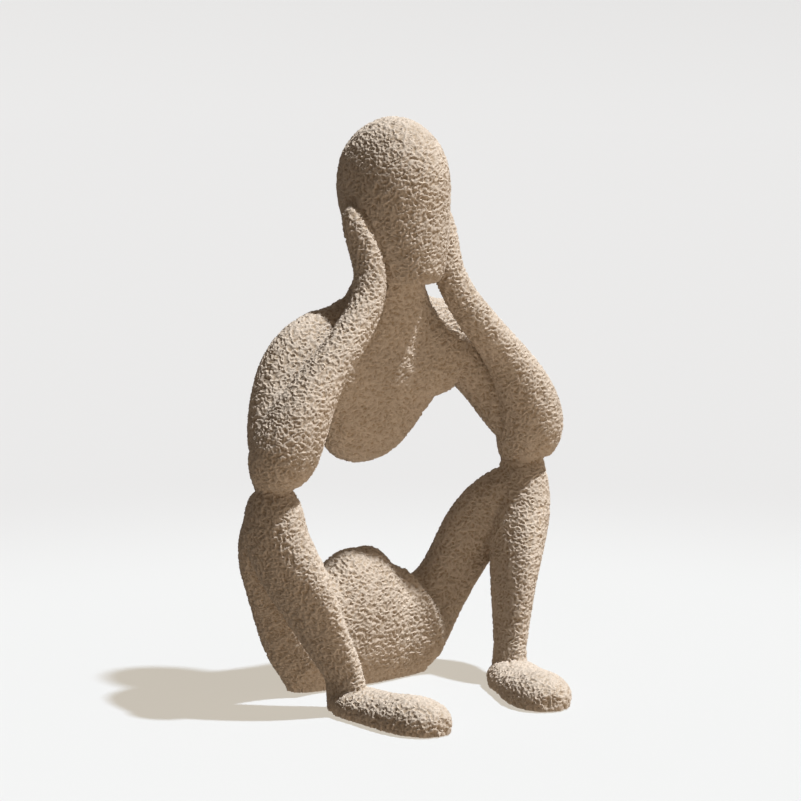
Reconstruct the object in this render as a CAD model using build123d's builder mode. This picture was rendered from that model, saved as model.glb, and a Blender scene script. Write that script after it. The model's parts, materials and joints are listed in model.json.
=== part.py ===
from build123d import *
import os

# Seated thinker statue: a faceless figure with its knees drawn up, its elbows on its knees and its
# head in its hands. It is cast in nine sections, bonded over steel pins, and stands on felt pads.
#
# Millimetres, +Z up. The figure faces -Y and its left side is +X. The floor is z = 0, and the origin
# is on the floor under the middle of the figure. A place is given as out (from the middle plane),
# back (from the origin towards the figure's back, less than zero in front of it) and up or rise.

# Head: an egg with its chin pushed forward
statue_height = 260.0
head_height = 74.0
head_width = 46.0
head_depth = 56.0
head_back = 19.5
chin_reach = 12.0

# Neck, where the head's casting is bonded to the torso's; rise is from the chin's underside
neck_rise = 6.0
neck_back = 21.5
neck_width = 32.0
neck_depth = 34.0
neck_angle = 28.0

# Torso: a shield that narrows from the shoulders to a rounded tip; the room is over the pelvis' hump
lap_room = 40.5
torso_tip_back = 42.5
chest_width = 83.5
chest_depth = 30.0
shoulder_inset = 3.75
shoulder_back = 27.5
shoulder_depth = 26.0
yoke_rise = 3.0

# Arms: upper arm down to the elbow, which stands over its seat on the knee
deltoid_height = 32.5
deltoid_depth = 28.0
upper_arm_width = 27.0
elbow_forward = 3.9
elbow_rise = 12.5
elbow_width = 29.5

# Forearm up to the hand on the cheek; the hand's rises are from the chin's underside
forearm_bow = 5.0
forearm_width = 19.3
wrist_forward = 11.8
wrist_rise = 4.0
wrist_width = 14.0
palm_forward = 7.4
palm_rise = 17.0
palm_width = 15.8
palm_thickness = 11.5
fingertip_forward = 0.2
fingertip_rise = 35.0
fingertip_gap = 3.0

# Elbow seat: the flat where an elbow rests on its knee
seat_out = 72.4
seat_back = 13.5
right_seat_width = 16.0
left_seat_width = 19.0

# Legs: thigh up to the knee, shin down to the ankle; the drop is from the seat
knee_drop = 14.0
knee_width = 24.0
knee_depth = 31.0
shin_width = 19.5
shin_depth = 36.0
thigh_width = 25.0
thigh_depth = 29.0
right_ankle_out = 45.5
right_ankle_back = -1.0
left_ankle_out = 51.5
left_ankle_back = -2.0
ankle_up = 17.0
ankle_width = 13.5
ankle_depth = 22.0

# Feet: a mitten shape that swells towards the toes
foot_length = 71.0
foot_width = 28.0
foot_height = 14.5
foot_sink = 5.0
heel_overhang = 8.0
right_toe_angle = 0.0
left_toe_angle = 24.0

# Pelvis: a bowl that joins the thighs, with a hump in its middle
hip_out = 33.2
hip_back = 42.8
hip_up = 28.3
hip_width = 31.0
hip_height = 48.5
hip_angle = 23.0
hump_height = 62.0
hump_back = 44.5
flank_back = 46.5
flank_height = 57.0
pelvis_depth = 34.0
pelvis_sink = 4.0

# Pins that hold the castings together, in blind holes with room for adhesive
pin_diameter = 4.0
pin_length = 16.0
small_pin_diameter = 3.0
small_pin_length = 10.0
hole_clearance = 0.15
bond_gap = 0.3

# Felt pads, let into the undersides and standing proud of them
pad_thickness = 1.5
pad_proud = 0.5
pad_clearance = 0.15
pelvis_pad_length = 44.0
pelvis_pad_width = 9.0
foot_pad_length = 40.0
foot_pad_width = 13.0

half_turn_angle = 180.0

# The knees' tops, as a share of the chin's height
seat_up_share = 0.5376

# Shoulders and yoke, as shares of the torso's height: how far under the neck, and heights
shoulder_drop_share = 0.419
shoulder_height_share = 0.469
trapezius_height_share = 0.531
yoke_height_share = 0.626

# How far out the trapezius lies towards the shoulder, and the pelvis' crest and flank towards the hip
trapezius_out_share = 0.658
crest_out_share = 0.211
flank_out_share = 0.6325

# Points of the limbs between their two ends: how far each lies from the first end to the second in
# its out, back and up places. Upper arm from shoulder to elbow, forearm from elbow to wrist, thigh
# from hip to knee, shin from elbow seat to ankle.
deltoid_place_shares = (0.407, 0.084, 0.148)
upper_arm_place_shares = (0.775, 0.447, 0.583)
forearm_place_shares = (0.575, 0.6, 0.613)
thigh_place_shares = (0.5306, 0.215, 0.4454)
upper_thigh_place_shares = (0.8367, 0.6246, 0.8527)
right_shin_place_shares = (0.442, 0.572, 0.602)
left_shin_place_shares = (0.569, 0.535, 0.602)

# The head's slices from the chin's underside to the crown: height, width, depth, and how far
# forward each one sits, as shares of the head's height, width, depth and the chin's reach
head_slice_shares = (
    (0.014, 0.50, 0.38, 0.90),
    (0.05, 0.64, 0.56, 0.84),
    (0.13, 0.76, 0.71, 0.62),
    (0.25, 0.87, 0.845, 0.36),
    (0.39, 0.955, 0.94, 0.14),
    (0.54, 1.0, 1.0, 0.02),
    (0.70, 0.965, 0.975, 0.0),
    (0.83, 0.82, 0.83, 0.0),
    (0.925, 0.575, 0.575, 0.02),
    (0.98, 0.30, 0.30, 0.04),
    (0.999, 0.07, 0.07, 0.04),
)

# The stub inside the head that the neck's face grows into: height, width, depth
nape_shares = (0.2, 0.8, 0.7)

# The chest's slices from the tip up to the neck: height between tip and neck, then width and depth
chest_slice_shares = (
    (0.0, 0.10, 0.10),
    (0.02, 0.26, 0.34),
    (0.06, 0.42, 0.56),
    (0.12, 0.55, 0.74),
    (0.20, 0.68, 0.86),
    (0.30, 0.84, 0.94),
    (0.41, 0.96, 1.0),
    (0.52, 0.98, 1.0),
    (0.64, 0.84, 1.0),
    (0.75, 0.64, 1.0),
    (0.86, 0.49, 1.03),
)

# Slices of the limbs: place along the centre line, then width and depth of the named part of the limb
deltoid_slice_shares = ((0.22, 1.0, 1.0),)
upper_arm_slice_shares = ((0.5, 1.03, 1.07), (0.8, 1.0, 1.0), (1.0, 0.8, 0.8))
right_elbow_slice_shares = ((0.03, 0.68, 0.68), (0.065, 0.86, 0.86), (0.12, 1.0, 1.0), (0.2, 0.95, 0.97))
left_elbow_slice_shares = ((0.03, 0.8, 0.8), (0.065, 0.95, 0.95), (0.12, 1.02, 1.02), (0.2, 0.94, 0.96))
forearm_slice_shares = ((0.4, 1.0, 1.0), (0.6, 0.8, 0.82))
wrist_slice_shares = ((0.76, 1.0, 1.0),)
hand_slice_shares = ((0.87, 1.0, 1.0), (0.95, 0.75, 0.85), (0.985, 0.48, 0.55), (1.0, 0.15, 0.15))
thigh_slice_shares = (
    (0.2, 0.98, 1.02),
    (0.4, 0.97, 0.98),
    (0.6, 1.0, 1.08),
    (0.8, 1.0, 1.08),
    (1.0, 0.95, 0.95),
)
knee_slice_shares = ((0.06, 0.84, 0.88), (0.16, 1.0, 1.0), (0.35, 1.13, 1.03))
shin_slice_shares = ((0.6, 1.0, 1.0), (0.85, 0.76, 0.8))
ankle_flare_share = 1.15

# How deep in the hand its pin's middle lies, as a share of the palm's thickness
palm_sink_share = 0.25

# How far the foot stands forward of a point straight under the ankle, as a share of the shin's slope
ankle_lean_share = 0.35

# The foot's slices from heel to toe: length, width and height
foot_slice_shares = (
    (0.02, 0.30, 0.30),
    (0.07, 0.60, 0.55),
    (0.16, 0.84, 0.74),
    (0.32, 0.92, 0.78),
    (0.52, 0.97, 0.86),
    (0.70, 1.0, 1.0),
    (0.84, 0.90, 0.95),
    (0.93, 0.66, 0.72),
    (0.985, 0.32, 0.36),
)
pad_middle_share = 0.47

SIDES = (("right", -1), ("left", 1))
OUT = Vector(1, 0, 0)
BACK = Vector(0, 1, 0)
UP = Vector(0, 0, 1)


def across(centre, along, wide):
    """Plane square to a limb at a point, its x direction as near to `wide` as it can be."""
    run = along.normalized()
    return Plane(origin=centre, x_dir=wide - run * wide.dot(run), z_dir=run)


def oval(plane, width, depth):
    """One oval slice, drawn in two halves so that neighbouring slices line up."""
    with BuildSketch(plane) as slice_sketch:
        with BuildLine():
            EllipticalCenterArc((0, 0), width / 2, depth / 2, 0, arc_size=half_turn_angle)
            EllipticalCenterArc((0, 0), width / 2, depth / 2, half_turn_angle, arc_size=half_turn_angle)
        make_face()
    return slice_sketch.sketch


def between(start, end, place_shares):
    """Point on the way from one end of a limb to the other, by its own share in each direction."""
    way = end - start
    out_share, back_share, up_share = place_shares
    return start + Vector(way.X * out_share, way.Y * back_share, way.Z * up_share)


def bone(points, start_along, end_along):
    """Smooth centre line through a limb's named points, leaving and ending along given directions."""
    with BuildLine() as centre_line:
        Spline(*points, tangents=(start_along, end_along))
    return centre_line.line


def limb_slices(centre_line, wide, width, depth, table):
    """Oval slices of a limb at the places along its centre line that a table of shares gives."""
    ovals = []
    for along_share, width_share, depth_share in table:
        plane = across(centre_line @ along_share, centre_line % along_share, wide)
        ovals.append(oval(plane, width * width_share, depth * depth_share))
    return ovals


def egg_slices(grow):
    """The head's slices, each one larger all round by `grow`."""
    ovals = []
    for up_share, width_share, depth_share, reach_share in head_slice_shares:
        middle = Vector(0, head_back - chin_reach * reach_share, chin_up + head_height * up_share)
        width = head_width * width_share + 2 * grow
        depth = head_depth * depth_share + 2 * grow
        ovals.append(oval(Plane(origin=middle), width, depth))
    return ovals


def sole_slot(centre, along, length, width):
    """Outline on the floor of a felt pad or its recess."""
    with BuildSketch(across(centre, UP, along)) as outline:
        SlotOverall(length, width)
    return outline.sketch


chin_up = statue_height - head_height
neck_up = chin_up + neck_rise
seat_up = chin_up * seat_up_share
torso_height = neck_up - lap_room - hump_height
shoulder_out = chest_width / 2 - shoulder_inset
shoulder_up = neck_up - torso_height * shoulder_drop_share
shoulder_height = torso_height * shoulder_height_share

# The planes where castings are bonded, and the shared outline of the two faces there
neck_joint = Plane(origin=(0, neck_back, neck_up), x_dir=OUT, z_dir=UP.rotate(Axis.X, neck_angle))
neck_face = oval(neck_joint, neck_width, neck_depth)
shoulder_joint = {}
shoulder_face = {}
palm_joint = {}
seat_joint = {}
seat_face = {}
hip_joint = {}
hip_face = {}
ankle_joint = {}
ankle_face = {}
foot_along = {}
ankle_places = {"right": (right_ankle_out, right_ankle_back), "left": (left_ankle_out, left_ankle_back)}
toe_angles = {"right": right_toe_angle, "left": left_toe_angle}
shin_place_shares = {"right": right_shin_place_shares, "left": left_shin_place_shares}
elbow_slice_shares = {"right": right_elbow_slice_shares, "left": left_elbow_slice_shares}
seat_widths = {"right": right_seat_width, "left": left_seat_width}
shin_points = {}
for name, side in SIDES:
    shoulder_joint[name] = across(Vector(side * shoulder_out, shoulder_back, shoulder_up), OUT * side, BACK)
    shoulder_face[name] = oval(shoulder_joint[name], shoulder_depth, shoulder_height)
    pin_out = head_width / 2 - palm_thickness * palm_sink_share
    palm_middle = Vector(side * pin_out, head_back - palm_forward, chin_up + palm_rise)
    palm_joint[name] = across(palm_middle, OUT * side, BACK)
    seat_joint[name] = across(Vector(side * seat_out, seat_back, seat_up), UP, OUT)
    seat_face[name] = oval(seat_joint[name], seat_widths[name], seat_widths[name])
    hip_along = (OUT * side).rotate(Axis.Y, -side * hip_angle)
    hip_joint[name] = across(Vector(side * hip_out, hip_back, hip_up), hip_along, BACK)
    hip_face[name] = oval(hip_joint[name], hip_width, hip_height)
    ankle_out, ankle_back = ankle_places[name]
    ankle = Vector(side * ankle_out, ankle_back, ankle_up)
    foot_along[name] = (-BACK).rotate(Axis.Z, -side * toe_angles[name])
    shin_points[name] = between(seat_joint[name].origin, ankle, shin_place_shares[name])
    ankle_joint[name] = across(ankle, ankle - shin_points[name], foot_along[name])
    ankle_face[name] = oval(ankle_joint[name], ankle_depth, ankle_width)

castings = {}
fittings = {}

# Pins, each one centred on its joint plane, and the holes that they sit in
pin_places = {"neck_pin": (neck_joint, pin_diameter, pin_length)}
for name, side in SIDES:
    pin_places[f"{name}_shoulder_pin"] = (shoulder_joint[name], pin_diameter, pin_length)
    pin_places[f"{name}_palm_pin"] = (palm_joint[name], small_pin_diameter, small_pin_length)
    pin_places[f"{name}_elbow_pin"] = (seat_joint[name], pin_diameter, pin_length)
    pin_places[f"{name}_hip_pin"] = (hip_joint[name], pin_diameter, pin_length)
    pin_places[f"{name}_ankle_pin"] = (ankle_joint[name], small_pin_diameter, small_pin_length)
holes = {}
for pin_name, (joint, diameter, length) in pin_places.items():
    with BuildPart(joint) as pin:
        Cylinder(diameter / 2, length)
    fittings[pin_name] = pin
    with BuildPart(joint) as hole:
        Cylinder(diameter / 2 + hole_clearance, length + 2 * hole_clearance)
    holes[pin_name] = hole.part

# Head
nape_up_share, nape_width_share, nape_depth_share = nape_shares
with BuildPart() as head:
    loft(sections=egg_slices(0))
    split(bisect_by=neck_joint, keep=Keep.TOP)
    nape_plane = neck_joint.offset(head_height * nape_up_share)
    nape = oval(nape_plane, neck_width * nape_width_share, neck_depth * nape_depth_share)
    loft(sections=[neck_face, nape])
    for pin_name in ("neck_pin", "right_palm_pin", "left_palm_pin"):
        add(holes[pin_name], mode=Mode.SUBTRACT)
castings["head"] = head

# Torso: the chest and neck in one loft, and the yoke across the shoulders
with BuildPart() as torso:
    tip = Vector(0, torso_tip_back, neck_up - torso_height)
    neck_run = neck_joint.origin - tip
    chest = []
    for up_share, width_share, depth_share in chest_slice_shares:
        chest_plane = Plane(origin=tip + neck_run * up_share)
        chest.append(oval(chest_plane, chest_width * width_share, chest_depth * depth_share))
    loft(sections=chest + [neck_face])
    trapezius_out = shoulder_out * trapezius_out_share
    trapezius_height = torso_height * trapezius_height_share
    yoke_height = torso_height * yoke_height_share
    yoke = []
    for out, rise, height in (
        (-shoulder_out, 0, shoulder_height),
        (-trapezius_out, 0, trapezius_height),
        (0, yoke_rise, yoke_height),
        (trapezius_out, 0, trapezius_height),
        (shoulder_out, 0, shoulder_height),
    ):
        yoke_plane = across(Vector(out, shoulder_back, shoulder_up + rise), OUT, BACK)
        yoke.append(oval(yoke_plane, shoulder_depth, height))
    loft(sections=yoke)
    for pin_name in ("neck_pin", "right_shoulder_pin", "left_shoulder_pin"):
        add(holes[pin_name], mode=Mode.SUBTRACT)
castings["torso"] = torso

# Arms, each cut back from the head by a bond line
for name, side in SIDES:
    shoulder = shoulder_joint[name].origin
    seat = seat_joint[name].origin
    elbow = seat - BACK * elbow_forward + UP * elbow_rise
    deltoid = between(shoulder, elbow, deltoid_place_shares)
    upper_arm = between(shoulder, elbow, upper_arm_place_shares)
    wrist = Vector(side * head_width / 2, head_back - wrist_forward, chin_up + wrist_rise)
    forearm = between(elbow, wrist, forearm_place_shares) - BACK * forearm_bow
    palm = Vector(side * head_width / 2, head_back - palm_forward, chin_up + palm_rise)
    fingertip_out = head_width / 2 + fingertip_gap
    fingertip = Vector(side * fingertip_out, head_back - fingertip_forward, chin_up + fingertip_rise)
    upper_bone = bone([shoulder, deltoid, upper_arm, elbow], OUT * side, elbow - upper_arm)
    lower_bone = bone([seat, elbow, forearm, wrist, palm, fingertip], UP, fingertip - palm)
    with BuildPart() as arm:
        upper_slices = [shoulder_face[name]]
        upper_slices += limb_slices(upper_bone, BACK, deltoid_depth, deltoid_height, deltoid_slice_shares)
        arm_width = upper_arm_width
        upper_slices += limb_slices(upper_bone, BACK, arm_width, arm_width, upper_arm_slice_shares)
        loft(sections=upper_slices)
        lower_slices = [seat_face[name]]
        lower_slices += limb_slices(lower_bone, BACK, elbow_width, elbow_width, elbow_slice_shares[name])
        lower_slices += limb_slices(lower_bone, BACK, forearm_width, forearm_width, forearm_slice_shares)
        lower_slices += limb_slices(lower_bone, BACK, wrist_width, wrist_width, wrist_slice_shares)
        lower_slices += limb_slices(lower_bone, BACK, palm_width, palm_thickness, hand_slice_shares)
        loft(sections=lower_slices)
        loft(sections=egg_slices(bond_gap), mode=Mode.SUBTRACT)
        for pin_name in (f"{name}_shoulder_pin", f"{name}_palm_pin", f"{name}_elbow_pin"):
            add(holes[pin_name], mode=Mode.SUBTRACT)
    castings[f"{name}_arm"] = arm

# Legs
for name, side in SIDES:
    hip = hip_joint[name].origin
    seat = seat_joint[name].origin
    knee = seat - UP * knee_drop
    thigh = between(hip, knee, thigh_place_shares)
    upper_thigh = between(hip, knee, upper_thigh_place_shares)
    thigh_bone = bone([hip, thigh, upper_thigh, knee], hip_joint[name].z_dir, knee - upper_thigh)
    ankle = ankle_joint[name].origin
    shin_bone = bone([seat, knee, shin_points[name], ankle], -UP, ankle_joint[name].z_dir)
    with BuildPart() as leg:
        thigh_slices = [hip_face[name]]
        thigh_slices += limb_slices(thigh_bone, BACK, thigh_width, thigh_depth, thigh_slice_shares)
        loft(sections=thigh_slices)
        shin_slices = [seat_face[name]]
        shin_slices += limb_slices(shin_bone, foot_along[name], knee_depth, knee_width, knee_slice_shares)
        shin_slices += limb_slices(shin_bone, foot_along[name], shin_depth, shin_width, shin_slice_shares)
        loft(sections=shin_slices + [ankle_face[name]])
        for pin_name in (f"{name}_elbow_pin", f"{name}_hip_pin", f"{name}_ankle_pin"):
            add(holes[pin_name], mode=Mode.SUBTRACT)
    castings[f"{name}_leg"] = leg

# Feet, flat underneath, each with its felt pad
for name, side in SIDES:
    ankle = ankle_joint[name].origin
    slope = ankle_joint[name].z_dir * (-ankle_up / ankle_joint[name].z_dir.Z)
    sole_middle = Vector(ankle.X + slope.X * ankle_lean_share, ankle.Y + slope.Y * ankle_lean_share, 0)
    heel = sole_middle - foot_along[name] * heel_overhang
    pad_middle = heel + foot_along[name] * (foot_length * pad_middle_share)
    with BuildPart() as foot:
        body = []
        oval_height = foot_height + foot_sink
        oval_middle = (foot_height - foot_sink) / 2
        for along_share, width_share, height_share in foot_slice_shares:
            centre = heel + foot_along[name] * (foot_length * along_share) + UP * oval_middle
            foot_plane = across(centre, foot_along[name], OUT)
            body.append(oval(foot_plane, foot_width * width_share, oval_height * height_share))
        loft(sections=body)
        split(bisect_by=Plane.XY.offset(pad_proud), keep=Keep.TOP)
        sole_plane = across(sole_middle + UP * pad_proud, -UP, foot_along[name])
        ankle_foot = oval(sole_plane, ankle_depth * ankle_flare_share, ankle_width * ankle_flare_share)
        loft(sections=[ankle_face[name], ankle_foot])
        recess = sole_slot(pad_middle, foot_along[name], foot_pad_length, foot_pad_width)
        extrude(recess, amount=pad_thickness, mode=Mode.SUBTRACT)
        add(holes[f"{name}_ankle_pin"], mode=Mode.SUBTRACT)
    castings[f"{name}_foot"] = foot
    with BuildPart() as foot_pad:
        pad_length = foot_pad_length - 2 * pad_clearance
        pad_width = foot_pad_width - 2 * pad_clearance
        extrude(sole_slot(pad_middle, foot_along[name], pad_length, pad_width), amount=pad_thickness)
    fittings[f"{name}_foot_pad"] = foot_pad

# Pelvis, one loft from its middle out to each hip, flat underneath, with its felt pad
pelvis_pad_middle = Vector(0, (hump_back + flank_back) / 2, 0)
with BuildPart() as pelvis:
    middle = Vector(0, hump_back, (hump_height - pelvis_sink) / 2)
    for name, side in SIDES:
        crest = Vector(side * hip_out * crest_out_share, hump_back, (hump_height - pelvis_sink) / 2)
        flank = Vector(side * hip_out * flank_out_share, flank_back, (flank_height - pelvis_sink) / 2)
        flank_along = (OUT * side).rotate(Axis.Y, -side * hip_angle / 2)
        loft(
            sections=[
                oval(across(middle, OUT * side, BACK), pelvis_depth, hump_height + pelvis_sink),
                oval(across(crest, OUT * side, BACK), pelvis_depth, hump_height + pelvis_sink),
                oval(across(flank, flank_along, BACK), pelvis_depth, flank_height + pelvis_sink),
                hip_face[name],
            ]
        )
    split(bisect_by=Plane.XY.offset(pad_proud), keep=Keep.TOP)
    recess = sole_slot(pelvis_pad_middle, OUT, pelvis_pad_length, pelvis_pad_width)
    extrude(recess, amount=pad_thickness, mode=Mode.SUBTRACT)
    for pin_name in ("right_hip_pin", "left_hip_pin"):
        add(holes[pin_name], mode=Mode.SUBTRACT)
castings["pelvis"] = pelvis

with BuildPart() as pelvis_pad:
    pad_length = pelvis_pad_length - 2 * pad_clearance
    pad_width = pelvis_pad_width - 2 * pad_clearance
    extrude(sole_slot(pelvis_pad_middle, OUT, pad_length, pad_width), amount=pad_thickness)
fittings["pelvis_pad"] = pelvis_pad

os.makedirs("parts", exist_ok=True)
for name, piece in (castings | fittings).items():
    piece.part.label = name
    export_step(piece.part, f"parts/{name}.step")
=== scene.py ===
"""Seated thinker statue in sand-coloured cast stone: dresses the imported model, in a pale studio."""

import json
import logging
import math
from dataclasses import dataclass, field
from enum import Enum
from typing import Any, Callable, Collection

import bmesh
import bpy
import numpy as np
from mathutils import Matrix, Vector

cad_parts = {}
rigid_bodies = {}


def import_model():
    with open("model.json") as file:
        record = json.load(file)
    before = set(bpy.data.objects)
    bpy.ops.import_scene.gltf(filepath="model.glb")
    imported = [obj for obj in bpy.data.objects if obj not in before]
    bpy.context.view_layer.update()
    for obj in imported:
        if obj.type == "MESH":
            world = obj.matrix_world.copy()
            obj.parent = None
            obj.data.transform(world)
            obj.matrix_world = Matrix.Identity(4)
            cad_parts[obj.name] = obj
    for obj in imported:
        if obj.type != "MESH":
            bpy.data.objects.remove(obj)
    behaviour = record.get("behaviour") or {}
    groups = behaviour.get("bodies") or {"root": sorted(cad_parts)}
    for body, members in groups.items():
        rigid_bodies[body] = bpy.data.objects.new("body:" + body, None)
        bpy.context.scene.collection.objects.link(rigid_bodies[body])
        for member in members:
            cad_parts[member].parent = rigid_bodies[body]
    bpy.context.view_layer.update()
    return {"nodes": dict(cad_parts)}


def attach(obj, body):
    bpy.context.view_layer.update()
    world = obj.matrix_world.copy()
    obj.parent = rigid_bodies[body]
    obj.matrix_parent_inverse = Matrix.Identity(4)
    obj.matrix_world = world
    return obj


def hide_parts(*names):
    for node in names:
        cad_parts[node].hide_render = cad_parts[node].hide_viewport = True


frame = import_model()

LOG = logging.getLogger("thinker")

MM = 0.001  # one millimetre in scene units
WHITE = "FFFFFF"
NOISE_SPAN = (0.3, 0.7)  # nearly all values of a noise lie in here


class Slot(Enum):
    """Material slots of the record."""

    STONE = "cast_stone"
    STEEL = "steel"
    FELT = "felt"


class Casting(Enum):
    """The cast sections, in the order in which they are numbered on the skin."""

    HEAD = "head"
    TORSO = "torso"
    RIGHT_ARM = "right_arm"
    LEFT_ARM = "left_arm"
    PELVIS = "pelvis"
    RIGHT_LEG = "right_leg"
    LEFT_LEG = "left_leg"
    RIGHT_FOOT = "right_foot"
    LEFT_FOOT = "left_foot"


# Objects


def deselect_all() -> None:
    for thing in bpy.context.view_layer.objects:
        thing.select_set(False)


def make_active(piece: bpy.types.Object) -> None:
    """Selects one object alone and makes it the active one."""
    deselect_all()
    piece.select_set(True)
    bpy.context.view_layer.objects.active = piece


def apply_modifier(piece: bpy.types.Object, kind: str, **settings: Any) -> None:
    """Adds a modifier, sets it up and applies it.

    Args:
        piece: the object.
        kind: the modifier's type, such as "REMESH".
        **settings: the modifier's attributes.
    """
    make_active(piece)
    modifier = piece.modifiers.new(kind.title(), kind)
    for name, value in settings.items():
        setattr(modifier, name, value)
    bpy.ops.object.modifier_apply(modifier=modifier.name)


def connected(members: Collection[Any], shared: Callable[[Any], Any]) -> list[list[Any]]:
    """Groups the faces or edges of a shell that hang together.

    Args:
        members: the faces or edges.
        shared: gives the edges or vertices through which one member meets its neighbours.

    Returns:
        One list of members for each group.
    """
    at: dict[Any, list[Any]] = {}
    for member in members:
        for thing in shared(member):
            at.setdefault(thing, []).append(member)
    found, seen = [], set()
    for member in members:
        if member in seen:
            continue
        seen.add(member)
        group = [member]
        for current in group:
            for thing in shared(current):
                for other in at[thing]:
                    if other not in seen:
                        seen.add(other)
                        group.append(other)
        found.append(group)
    return found


# Nodes


def linear(hex_colour: str) -> tuple[float, float, float, float]:
    """Turns an sRGB hex colour into linear red, green, blue and alpha.

    Args:
        hex_colour: six hex digits, such as "B9A691".

    Returns:
        Four numbers from 0 to 1.
    """
    channels = [int(hex_colour[i : i + 2], 16) / 255 for i in (0, 2, 4)]
    curve = [c / 12.92 if c <= 0.04045 else ((c + 0.055) / 1.055) ** 2.4 for c in channels]
    return (curve[0], curve[1], curve[2], 1.0)


def connect(tree: bpy.types.NodeTree, node: Any, inputs: dict[Any, Any]) -> None:
    """Links or sets inputs of a node.

    Args:
        tree: the shader or geometry node tree.
        node: the node.
        inputs: input name or number to an output socket, or to a plain value.
    """
    for name, value in inputs.items():
        if isinstance(value, bpy.types.NodeSocket):
            tree.links.new(value, node.inputs[name])
        else:
            node.inputs[name].default_value = value


def add_node(
    tree: bpy.types.NodeTree, kind: str, inputs: dict[Any, Any] | None = None, **settings: Any
) -> Any:
    """Adds a node with its settings and inputs.

    Args:
        tree: the shader or geometry node tree.
        kind: the node's type, such as "ShaderNodeMath".
        inputs: input name or number to an output socket, or to a plain value.
        **settings: attributes of the node itself, such as operation="MULTIPLY".

    Returns:
        The new node.
    """
    node = tree.nodes.new(kind)
    for name, value in settings.items():
        setattr(node, name, value)
    connect(tree, node, inputs or {})
    return node


def calculate(tree: bpy.types.NodeTree, operation: str, *values: Any) -> Any:
    """Adds a calculation on plain numbers, such as "MULTIPLY", and gives its result's socket."""
    node = add_node(tree, "ShaderNodeMath", dict(enumerate(values)), operation=operation)
    return node.outputs["Value"]


def calculate_vector(tree: bpy.types.NodeTree, operation: str, *vectors: Any) -> Any:
    """Adds a calculation on vectors, such as "ADD", and gives its result's socket."""
    node = add_node(tree, "ShaderNodeVectorMath", dict(enumerate(vectors)), operation=operation)
    return node.outputs["Value" if operation in ("LENGTH", "DOT_PRODUCT") else "Vector"]


def scale_vector(tree: bpy.types.NodeTree, vector: Any, factor: Any) -> Any:
    """Adds the product of a vector and a plain number, and gives its socket."""
    node = add_node(tree, "ShaderNodeVectorMath", {0: vector, "Scale": factor}, operation="SCALE")
    return node.outputs["Vector"]


def map_range(
    tree: bpy.types.NodeTree,
    value: Any,
    source: tuple[float, float] = (0.0, 1.0),
    target: tuple[float, float] = (0.0, 1.0),
    smooth: bool = False,
) -> Any:
    """Adds a node that carries a value from one range to another.

    Args:
        tree: the shader or geometry node tree.
        value: the value's socket.
        source: the two values that become the target's ends.
        target: the range of the result.
        smooth: whether the ends are eased.

    Returns:
        The result's socket.
    """
    ends = {"From Min": source[0], "From Max": source[1], "To Min": target[0], "To Max": target[1]}
    easing = "SMOOTHSTEP" if smooth else "LINEAR"
    node = add_node(tree, "ShaderNodeMapRange", {"Value": value, **ends}, interpolation_type=easing)
    return node.outputs["Result"]


def add_noise(
    tree: bpy.types.NodeTree, place: Any, size: float, detail: float, distortion: float = 0.0
) -> Any:
    """Adds a noise.

    Args:
        tree: the shader or geometry node tree.
        place: the place's socket.
        size: size of the noise's cells, in the place's unit.
        detail: how many finer noises are added.
        distortion: how far the cells are bent.

    Returns:
        The node, with the outputs "Fac" and "Color".
    """
    inputs = {"Vector": place, "Scale": 1 / size, "Detail": detail, "Distortion": distortion}
    return add_node(tree, "ShaderNodeTexNoise", inputs)


def add_ramp(
    tree: bpy.types.NodeTree, value: Any, *stops: tuple[float, str], easing: str = "LINEAR"
) -> Any:
    """Adds a ramp of colours.

    Args:
        tree: the shader node tree.
        value: the socket of the value that picks the colour.
        *stops: value and hex colour of each stop, in rising order.
        easing: the ramp's interpolation.

    Returns:
        The colour's socket.
    """
    node = add_node(tree, "ShaderNodeValToRGB", {"Fac": value})
    ramp = node.color_ramp
    ramp.interpolation = easing
    for element, (position, colour) in zip(ramp.elements, (stops[0], stops[-1])):
        element.position, element.color = position, linear(colour)
    for position, colour in stops[1:-1]:
        ramp.elements.new(position).color = linear(colour)
    return node.outputs["Color"]


def add_bump(tree: bpy.types.NodeTree, height: Any, depth_mm: float) -> Any:
    """Adds a bump and gives its normal's socket."""
    node = add_node(tree, "ShaderNodeBump", {"Height": height, "Distance": depth_mm * MM})
    return node.outputs["Normal"]


def object_place(tree: bpy.types.NodeTree) -> Any:
    """Adds the piece's own coordinates, in metres, and gives their socket."""
    return add_node(tree, "ShaderNodeTexCoord").outputs["Object"]


def new_material(name: str) -> tuple[bpy.types.Material, bpy.types.NodeTree, Any]:
    """Makes a node material.

    Returns:
        The material, its tree and its Principled shader.
    """
    material = bpy.data.materials.new(name)
    material.use_nodes = True
    tree = material.node_tree
    return material, tree, tree.nodes["Principled BSDF"]


def new_geometry_group(name: str) -> tuple[bpy.types.NodeTree, Any]:
    """Makes a geometry node group with one geometry input and output.

    Returns:
        The group and the socket of the geometry that comes in.
    """
    tree = bpy.data.node_groups.new(name, "GeometryNodeTree")
    for direction in ("INPUT", "OUTPUT"):
        tree.interface.new_socket(name="Geometry", in_out=direction, socket_type="NodeSocketGeometry")
    return tree, add_node(tree, "NodeGroupInput").outputs["Geometry"]


# Finishes


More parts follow.
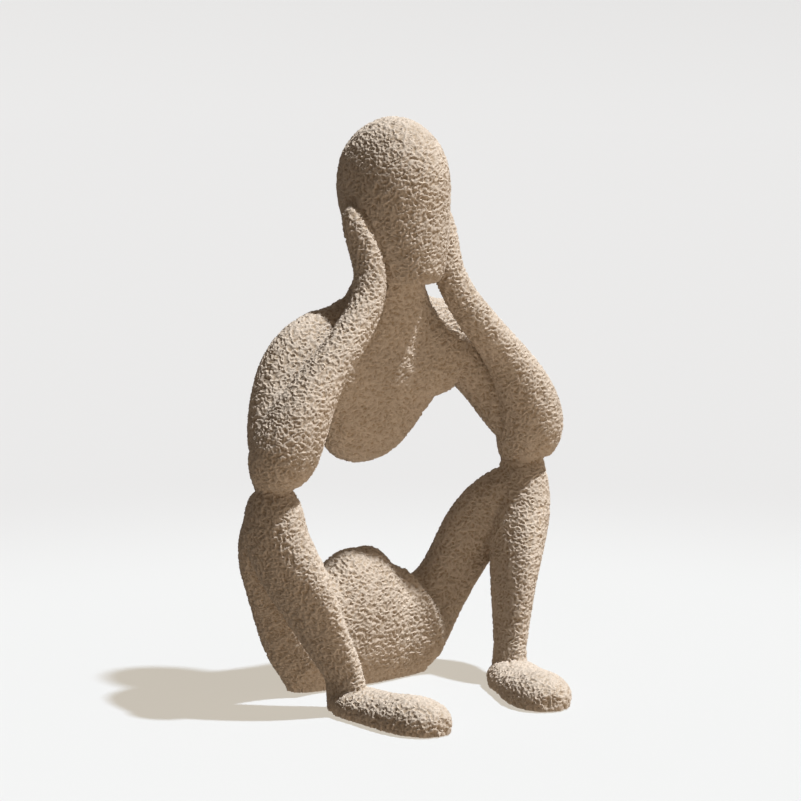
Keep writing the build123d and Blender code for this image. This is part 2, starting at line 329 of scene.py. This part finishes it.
@dataclass(frozen=True)
class CastStone:
    """Stone-filled cast resin under a stippled sand coat: dead matt, warm taupe, with painted light that
    makes the ridges paler.

    The coat is thick and grainy, so the eye sees no gloss at all, only short worm-like ridges with pits
    between them, darkened with painted shade.
    """

    # painted shade and light: the pits' colour is darker and the ridges' colour a little paler than the
    # coat's body, to stand in for the shade in the hollows and the light on the crests
    painted_pit_shade: str = "AD9C87"
    body: str = "CBBFB1"
    ridge: str = "D0C5B8"
    pit_height: float = 0.04  # height in the relief, from 0 to 1, at which each tone is reached
    body_height: float = 0.38
    ridge_height: float = 0.9
    grain_size_mm: float = 0.65  # clumps of sand grains; single ones are 0.1 to 0.3 mm, too fine to show
    grain_depth_mm: float = 0.22
    grain_tones: tuple[float, float] = (0.92, 1.06)
    blotch_size_mm: float = 28.0  # slow changes of tone where the coat is thicker
    blotch_tones: tuple[float, float] = (0.93, 1.05)
    roughness: float = 0.92
    ior: float = 1.5
    shine: float = 0.25  # half of bare resin's, as the grains scatter the light

    def build(self) -> bpy.types.Material:
        """Builds the material, which reads the relief's height from the skin's own attribute."""
        material, tree, shader = new_material("sand_coated_cast_stone")
        place = object_place(tree)
        relief = add_node(tree, "ShaderNodeAttribute", attribute_name="relief").outputs["Fac"]
        heights = (self.pit_height, self.body_height, self.ridge_height)
        # the relief's height picks the colour: painted shade in the pits, painted light on the ridges
        tone = add_ramp(tree, relief, *zip(heights, (self.painted_pit_shade, self.body, self.ridge)))
        blotch = add_noise(tree, place, self.blotch_size_mm * MM, detail=3.0).outputs["Fac"]
        grain = add_noise(tree, place, self.grain_size_mm * MM, detail=2.0).outputs["Fac"]
        blotch_tone = map_range(tree, blotch, NOISE_SPAN, self.blotch_tones)
        grain_tone = map_range(tree, grain, NOISE_SPAN, self.grain_tones)
        shade = calculate(tree, "MULTIPLY", blotch_tone, grain_tone)
        look = {
            "Base Color": scale_vector(tree, tone, shade),
            "Normal": add_bump(tree, grain, self.grain_depth_mm),
            "Roughness": self.roughness,
            "IOR": self.ior,
            "Specular IOR Level": self.shine,
        }
        connect(tree, shader, look)
        return material


@dataclass(frozen=True)
class DowelSteel:
    """Drawn steel dowel: satin grey metal whose shine varies in fine spots."""

    colour: str = "9FA0A1"
    spot_size_mm: float = 0.2
    roughness: float = 0.34
    roughness_reach: float = 0.08

    def build(self) -> bpy.types.Material:
        """Builds the material."""
        material, tree, shader = new_material("drawn_dowel_steel")
        spots = add_noise(tree, object_place(tree), self.spot_size_mm * MM, detail=1.0).outputs["Fac"]
        rough = (self.roughness - self.roughness_reach, self.roughness + self.roughness_reach)
        look = {
            "Base Color": linear(self.colour),
            "Metallic": 1.0,
            "Roughness": map_range(tree, spots, target=rough),
        }
        connect(tree, shader, look)
        return material


@dataclass(frozen=True)
class WoolFelt:
    """Pressed wool felt: brown, fuzzy, with a mottle of fibres."""

    dark: str = "5A4C40"
    light: str = "7B6A5A"
    tones_at: tuple[float, float] = (0.35, 0.65)  # noise values at which dark and light are reached
    fibre_size_mm: float = 0.35  # fibre bundles; single fibres are far too fine to show
    fibre_depth_mm: float = 0.15
    fibre_bend: float = 1.5
    roughness: float = 0.95
    fuzz: float = 0.3

    def build(self) -> bpy.types.Material:
        """Builds the material."""
        material, tree, shader = new_material("pressed_wool_felt")
        noise = add_noise(tree, object_place(tree), self.fibre_size_mm * MM, 3.0, self.fibre_bend)
        fibres = noise.outputs["Fac"]
        look = {
            "Base Color": add_ramp(tree, fibres, *zip(self.tones_at, (self.dark, self.light))),
            "Normal": add_bump(tree, fibres, self.fibre_depth_mm),
            "Roughness": self.roughness,
            "Sheen Weight": self.fuzz,
        }
        connect(tree, shader, look)
        return material


@dataclass(frozen=True)
class PaperCove:
    """Matt white paper that glows, brightest in a pool round the figure.

    Seen with both the key and the glow it is neutral. In the pool the glow is painted warm light, so the
    figure's shadow there is painted a little brown.
    """

    # bluish paper colour in the pool, so that the key and the pool's painted warm light add up to
    # neutral
    pool_colour: str = "8C96A2"
    far_colour: str = "6D6D6D"
    # painted light: the pool's warm glow alone gives the figure's shadow on the paper its colour
    pool_painted_light: str = "C3BCB0"
    far_glow: str = "CECECE"
    pool_radius_m: float = 0.27
    fade_radius_m: float = 0.62

    def build(self) -> bpy.types.Material:
        """Builds the material."""
        material, tree, shader = new_material("white_cove_paper")
        radius = calculate_vector(tree, "LENGTH", object_place(tree))
        away = map_range(tree, radius, (self.pool_radius_m, self.fade_radius_m), smooth=True)
        look = {
            "Base Color": add_ramp(tree, away, (0.0, self.pool_colour), (1.0, self.far_colour)),
            # the glow is painted light; in the pool it is warm, which paints the figure's shadow brown
            "Emission Color": add_ramp(tree, away, (0.0, self.pool_painted_light), (1.0, self.far_glow)),
            "Emission Strength": 1.0,
            "Roughness": 1.0,
            "Specular IOR Level": 0.0,
        }
        connect(tree, shader, look)
        return material


# The figure


@dataclass
class StuccoRelief:
    """Short worm-like ridges of the sand coat, raised in the mesh itself.

    Sizes are millimetres on the statue. The same field runs over all castings, so it doesn't stop
    at their joints.
    """

    wrinkle_size: float = 2.4
    wrinkle_depth: float = 0.66
    wrinkle_sharpness: float = 1.4
    stipple_size: float = 1.3
    stipple_depth: float = 0.34
    stipple_sharpness: float = 1.0
    crest_reach: float = 0.2  # how far a noise may be from its middle value and still raise a ridge
    swell_size: float = 9.0
    swell_depth: float = 0.2
    squash_up: float = 1.35  # the ridges lie more level than upright
    warp_size: float = 3.2
    warp_reach: float = 0.9
    mean_share: float = 0.55  # mean height of the relief over its whole depth

    def group(self) -> bpy.types.NodeTree:
        """Builds the nodes that move the skin along its normals and keep the relief's height."""
        tree, skin = new_geometry_group("stucco_relief")
        place = add_node(tree, "GeometryNodeInputPosition").outputs["Position"]
        normal = add_node(tree, "GeometryNodeInputNormal").outputs["Normal"]
        place_mm = calculate_vector(tree, "MULTIPLY", place, (1 / MM, 1 / MM, self.squash_up / MM))
        warped = self.warp(tree, place_mm)
        wrinkle = self.ridge(tree, warped, self.wrinkle_size, self.wrinkle_sharpness)
        stipple = self.ridge(tree, warped, self.stipple_size, self.stipple_sharpness)
        swell = add_noise(tree, place_mm, self.swell_size, detail=1.0).outputs["Fac"]
        height = calculate(tree, "MULTIPLY", wrinkle, self.wrinkle_depth)
        height = calculate(tree, "MULTIPLY_ADD", stipple, self.stipple_depth, height)
        total = calculate(tree, "MULTIPLY_ADD", swell, self.swell_depth, height)
        ridge_depth = self.wrinkle_depth + self.stipple_depth
        sunk = calculate(tree, "SUBTRACT", total, (ridge_depth + self.swell_depth) * self.mean_share)
        push = scale_vector(tree, normal, calculate(tree, "MULTIPLY", sunk, MM))
        share = calculate(tree, "DIVIDE", height, ridge_depth)
        kept = add_node(
            tree,
            "GeometryNodeStoreNamedAttribute",
            {"Geometry": skin, "Name": "relief", "Value": share},
            data_type="FLOAT",
            domain="POINT",
        )
        lifted = {"Geometry": kept.outputs["Geometry"], "Offset": push}
        moved = add_node(tree, "GeometryNodeSetPosition", lifted)
        add_node(tree, "NodeGroupOutput", {"Geometry": moved.outputs["Geometry"]})
        return tree

    def warp(self, tree: bpy.types.NodeTree, place: Any) -> Any:
        """Shifts a place about a little, so that ridges wander, and gives the new place's socket."""
        noise = add_noise(tree, place, self.warp_size, detail=1.0).outputs["Color"]
        centred = calculate_vector(tree, "SUBTRACT", noise, (0.5, 0.5, 0.5))
        shift = scale_vector(tree, centred, 2 * self.warp_reach)
        return calculate_vector(tree, "ADD", place, shift)

    def ridge(self, tree: bpy.types.NodeTree, place: Any, size: float, sharpness: float) -> Any:
        """Adds a noise folded at its middle value, which leaves thin winding ridges.

        Args:
            tree: the node tree.
            place: socket of the place in millimetres.
            size: size of the noise's cells in millimetres; each has about two ridges.
            sharpness: how narrow the crests are.

        Returns:
            The socket of the height, from 0 in the pits to 1 on the crests.
        """
        noise = add_noise(tree, place, size, detail=0.0).outputs["Fac"]
        fold = calculate(tree, "ABSOLUTE", calculate(tree, "SUBTRACT", noise, 0.5))
        crest = map_range(tree, fold, (0.0, self.crest_reach), (1.0, 0.0), smooth=True)
        return calculate(tree, "POWER", crest, sharpness)


@dataclass
class Figure:
    """The nine castings, fused under one skin of sand coat and parted again at their joints."""

    voxel_mm: float = 0.46
    quick_voxel_mm: float = 0.9
    weld_mm: float = 0.001
    soften_steps: int = 5
    soften_strength: float = 0.5
    sole_up_mm: float = 0.5
    sole_band_mm: float = 2.1  # faces below this height that look down belong to the soles
    sole_slope: float = -0.5
    crease_degrees: float = 75.0
    relief: StuccoRelief = field(default_factory=StuccoRelief)
    finish: CastStone = field(default_factory=CastStone)

    def build(self) -> None:
        """Builds the skin, parts it and dresses each piece."""
        marked = self.copy_castings()
        skin = self.fuse(marked)
        self.soften(skin)
        self.number(skin, marked)
        self.coat(skin)
        self.flatten_soles(skin)
        pieces = self.part(skin)
        bpy.data.objects.remove(marked)
        material = self.finish.build()
        for casting, piece in pieces.items():
            piece.name = f"{casting.value}_coated"
            piece.data.name = piece.name
            piece.data.materials.clear()
            piece.data.materials.append(material)
            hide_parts(casting.value)
            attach(piece, "root")
            LOG.info("%s: %d faces", piece.name, len(piece.data.polygons))

    def voxel(self) -> float:
        return self.voxel_mm

    def markers(self) -> list[bpy.types.Material]:
        """One plain material for each casting, whose index numbers the casting's faces."""
        names = [f"{casting.value}_mark" for casting in Casting]
        return [bpy.data.materials.get(name) or bpy.data.materials.new(name) for name in names]

    def add_markers(self, piece: bpy.types.Object) -> None:
        """Gives a piece the castings' markers as its only materials."""
        piece.data.materials.clear()
        for marker in self.markers():
            piece.data.materials.append(marker)

    def copy_castings(self) -> bpy.types.Object:
        """Copies the castings into one object, with each one's number as its faces' material index."""
        meshes = []
        for number, casting in enumerate(Casting):
            copy = frame["nodes"][casting.value].copy()
            copy.data = copy.data.copy()
            copy.parent = None
            for key in list(copy.keys()):
                del copy[key]
            bpy.context.scene.collection.objects.link(copy)
            self.add_markers(copy)
            copy.data.polygons.foreach_set("material_index", [number] * len(copy.data.polygons))
            meshes.append(copy)
        deselect_all()
        for copy in meshes:
            copy.select_set(True)
        bpy.context.view_layer.objects.active = meshes[0]
        bpy.ops.object.join()
        joined = bpy.context.view_layer.objects.active
        joined.name = "castings_marked"
        return joined

    def fuse(self, marked: bpy.types.Object) -> bpy.types.Object:
        """Fuses the castings into one closed skin of even small faces."""
        skin = marked.copy()
        skin.data = marked.data.copy()
        bpy.context.scene.collection.objects.link(skin)
        make_active(skin)
        bpy.ops.object.mode_set(mode="EDIT")
        bpy.ops.mesh.select_all(action="SELECT")
        bpy.ops.mesh.remove_doubles(threshold=self.weld_mm * MM)
        bpy.ops.object.mode_set(mode="OBJECT")
        apply_modifier(skin, "REMESH", mode="VOXEL", voxel_size=self.voxel() * MM, use_smooth_shade=True)
        return skin

    def soften(self, skin: bpy.types.Object) -> None:
        """Rounds the creases where limbs meet, as the coat does."""
        steps = round(self.soften_steps * (self.voxel_mm / self.voxel()) ** 2)
        apply_modifier(skin, "SMOOTH", factor=self.soften_strength, iterations=steps)

    def number(self, skin: bpy.types.Object, marked: bpy.types.Object) -> None:
        """Gives each face of the skin the number of the casting that it covers."""
        tree, geometry = new_geometry_group("casting_numbers")
        under = add_node(tree, "GeometryNodeObjectInfo", {"Object": marked}).outputs["Geometry"]
        index = add_node(tree, "GeometryNodeInputMaterialIndex").outputs["Material Index"]
        nearest = add_node(tree, "GeometryNodeSampleNearest", {"Geometry": under}, domain="FACE")
        sampled = add_node(
            tree,
            "GeometryNodeSampleIndex",
            {"Geometry": under, "Value": index, "Index": nearest.outputs["Index"]},
            data_type="INT",
            domain="FACE",
        )
        numbered = add_node(
            tree,
            "GeometryNodeSetMaterialIndex",
            {"Geometry": geometry, "Material Index": sampled.outputs["Value"]},
        )
        add_node(tree, "NodeGroupOutput", {"Geometry": numbered.outputs["Geometry"]})
        self.add_markers(skin)
        apply_modifier(skin, "NODES", node_group=tree)

    def coat(self, skin: bpy.types.Object) -> None:
        """Raises the stucco relief on the skin."""
        apply_modifier(skin, "NODES", node_group=self.relief.group())

    def flatten_soles(self, skin: bpy.types.Object) -> None:
        """Fills the pads' recesses and levels the undersides just above the floor."""
        count = len(skin.data.vertices)
        places, normals = np.empty(count * 3, np.float32), np.empty(count * 3, np.float32)
        skin.data.vertices.foreach_get("co", places)
        skin.data.vertices.foreach_get("normal", normals)
        heights = places.reshape(-1, 3)[:, 2]
        level = self.sole_up_mm * MM
        downward = normals.reshape(-1, 3)[:, 2] < self.sole_slope
        sole = (heights < level) | (downward & (heights < self.sole_band_mm * MM))
        heights[sole] = level
        skin.data.vertices.foreach_set("co", places)
        skin.data.update()

    def part(self, skin: bpy.types.Object) -> dict[Casting, bpy.types.Object]:
        """Parts the skin by casting number and closes each piece where its neighbours were."""
        castings = {marker.name: casting for marker, casting in zip(self.markers(), Casting)}
        before = set(bpy.context.scene.objects)
        make_active(skin)
        bpy.ops.object.mode_set(mode="EDIT")
        bpy.ops.mesh.select_all(action="SELECT")
        bpy.ops.mesh.separate(type="MATERIAL")
        bpy.ops.object.mode_set(mode="OBJECT")
        parts = [skin] + [thing for thing in bpy.context.scene.objects if thing not in before]
        pieces = {}
        for piece in parts:
            used = piece.data.materials[piece.data.polygons[0].material_index].name
            self.close(piece)
            pieces[castings[used]] = piece
        return pieces

    def close(self, piece: bpy.types.Object) -> None:
        """Keeps a piece's main shell and closes each open rim with a fan to its middle."""
        shell = bmesh.new()
        shell.from_mesh(piece.data)
        for vert in list(shell.verts):
            if sum(edge.is_boundary for edge in vert.link_edges) > 2:
                bmesh.utils.vert_separate(vert, [])
        main = set(max(connected(shell.faces, lambda face: face.edges), key=len))
        strays = [face for face in shell.faces if face not in main]
        bmesh.ops.delete(shell, geom=strays, context="FACES")
        rims = connected([edge for edge in shell.edges if edge.is_boundary], lambda edge: edge.verts)
        for rim in rims:
            self.fill(shell, rim)
        shell.normal_update()
        shell.to_mesh(piece.data)
        shell.free()
        piece.data.polygons.foreach_set("use_smooth", [True] * len(piece.data.polygons))
        make_active(piece)
        bpy.ops.object.shade_smooth_by_angle(angle=math.radians(self.crease_degrees))

    def fill(self, shell: bmesh.types.BMesh, rim: list[bmesh.types.BMEdge]) -> None:
        """Closes one rim with a fan of triangles whose middle takes the rim's mean relief."""
        relief = shell.verts.layers.float.get("relief")
        verts = list(dict.fromkeys(vert for edge in rim for vert in edge.verts))
        middle = shell.verts.new(sum((vert.co for vert in verts), Vector()) / len(verts))
        middle[relief] = sum(vert[relief] for vert in verts) / len(verts)
        for edge in rim:
            loop = edge.link_loops[0]
            shell.faces.new((loop.link_loop_next.vert, loop.vert, middle))


@dataclass
class Fittings:
    """Pins and pads, which keep their shapes and get their finishes."""

    steel: DowelSteel = field(default_factory=DowelSteel)
    felt: WoolFelt = field(default_factory=WoolFelt)

    def build(self) -> None:
        """Dresses each pin in steel and each pad in felt."""
        steel = self.steel.build()
        felt = self.felt.build()
        for name, node in sorted(frame["nodes"].items()):
            if name.endswith("_pin"):
                finish, slot = steel, Slot.STEEL
            elif name.endswith("_pad"):
                finish, slot = felt, Slot.FELT
            else:
                continue
            node.data.materials.clear()
            node.data.materials.append(finish)
            LOG.info("%s: %s", name, finish.name)


@dataclass
class Studio:
    """Round paper cove, a hard key from high on the right of the picture, and warm fill.

    The fill comes mostly from below in front, as off a bright floor, and a little from above behind.
    """

    target_mm: tuple[float, float, float] = (0.0, 14.5, 133.39)
    azimuth: float = -39.83
    elevation: float = 8.09
    distance_mm: float = 1566.8
    lens_mm: float = 157.3
    sensor_mm: float = 36.0
    seen_m: tuple[float, float] = (0.05, 30.0)
    to_key: tuple[float, float, float] = (0.259, -0.333, 0.907)
    key_strength: float = 4.3
    key_angle: float = 2.5
    key_colour: str = WHITE
    to_fill: tuple[float, float, float] = (0.18, -0.735, -0.653)
    fill_reach: tuple[float, float] = (-1.0, 0.95)  # dot products with to_fill at the ramp's two ends
    fill_back: str = "97846F"
    fill_dark: str = "211812"
    fill_bright: str = "D6BFA6"
    fill_dark_from: float = 0.256  # the stretch of the ramp that stays dark
    fill_dark_to: float = 0.385
    floor_corners: int = 128
    floor_radius_m: float = 4.0
    bend_radius_m: float = 0.8
    bend_steps: int = 8
    wall_height_m: float = 2.5
    paper: PaperCove = field(default_factory=PaperCove)

    def build(self) -> None:
        """Builds the cove, the lights and the camera."""
        self.add_cove()
        self.add_key()
        self.add_fill()
        self.add_camera()
        bpy.context.scene.view_settings.view_transform = "Standard"

    def add_cove(self) -> None:
        """Adds the paper: a round floor that bends up into a wall all round the figure."""
        deselect_all()
        bpy.ops.mesh.primitive_circle_add(
            vertices=self.floor_corners, radius=self.floor_radius_m, fill_type="NGON"
        )
        cove = bpy.context.active_object
        cove.name = "paper_cove"
        bpy.ops.object.mode_set(mode="EDIT")
        bpy.ops.mesh.select_mode(type="EDGE")
        bpy.ops.mesh.select_all(action="SELECT")
        radius, height = self.floor_radius_m, 0.0
        for step in range(1, self.bend_steps + 1):
            turn = math.radians(90) * step / self.bend_steps
            wider = self.floor_radius_m + self.bend_radius_m * math.sin(turn)
            higher = self.bend_radius_m * (1 - math.cos(turn))
            self.raise_rim(wider / radius, higher - height)
            radius, height = wider, higher
        self.raise_rim(1.0, self.wall_height_m)
        bpy.ops.mesh.select_all(action="SELECT")
        bpy.ops.mesh.normals_make_consistent(inside=False)
        bpy.ops.object.mode_set(mode="OBJECT")
        bpy.ops.object.shade_smooth()
        cove.data.materials.append(self.paper.build())
        cove.visible_diffuse = False
        cove.visible_shadow = False

    def raise_rim(self, scale: float, rise: float) -> None:
        """Extrudes the selected rim upwards and widens the new one."""
        bpy.ops.mesh.extrude_region_move(TRANSFORM_OT_translate={"value": (0.0, 0.0, rise)})
        bpy.ops.transform.resize(value=(scale, scale, 1.0), center_override=(0.0, 0.0, 0.0))

    def add_key(self) -> None:
        """Adds the key, a small far light that casts the figure's shadow."""
        data = bpy.data.lights.new("key", "SUN")
        data.energy = self.key_strength
        data.angle = math.radians(self.key_angle)
        data.color = linear(self.key_colour)[:3]
        key = bpy.data.objects.new("key", data)
        key.rotation_mode = "QUATERNION"
        key.rotation_quaternion = (-Vector(self.to_key)).to_track_quat("-Z", "Y")
        bpy.context.scene.collection.objects.link(key)

    def add_fill(self) -> None:
        """Adds the fill as a world whose light depends on its direction."""
        world = bpy.data.worlds.new("studio")
        world.use_nodes = True
        tree = world.node_tree
        direction = add_node(tree, "ShaderNodeTexCoord").outputs["Generated"]
        towards = calculate_vector(tree, "DOT_PRODUCT", direction, self.to_fill)
        fill = add_ramp(
            tree,
            map_range(tree, towards, self.fill_reach),
            (0.0, self.fill_back),
            (self.fill_dark_from, self.fill_dark),
            (self.fill_dark_to, self.fill_dark),
            (1.0, self.fill_bright),
            easing="EASE",
        )
        connect(tree, tree.nodes["Background"], {"Color": fill})
        bpy.context.scene.world = world

    def add_camera(self) -> None:
        """Adds the camera at the photograph's viewing angle."""
        turn, rise = math.radians(self.azimuth), math.radians(self.elevation)
        flat = math.cos(rise)
        back = Vector((math.sin(turn) * flat, -math.cos(turn) * flat, math.sin(rise)))
        data = bpy.data.cameras.new("camera")
        data.sensor_width = self.sensor_mm
        data.lens = self.lens_mm
        data.clip_start, data.clip_end = self.seen_m
        camera = bpy.data.objects.new("camera", data)
        camera.location = (Vector(self.target_mm) + back * self.distance_mm) * MM
        camera.rotation_mode = "QUATERNION"
        camera.rotation_quaternion = (-back).to_track_quat("-Z", "Y")
        bpy.context.scene.collection.objects.link(camera)
        bpy.context.scene.camera = camera


def write_sizes() -> None:
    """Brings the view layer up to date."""
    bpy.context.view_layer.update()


def main() -> None:
    """Builds the figure, its fittings and the studio."""
    logging.basicConfig(level=logging.INFO, format="%(name)s: %(message)s")
    Figure().build()
    Fittings().build()
    Studio().build()
    bpy.context.view_layer.update()
    write_sizes()


if __name__ == "__main__":
    main()
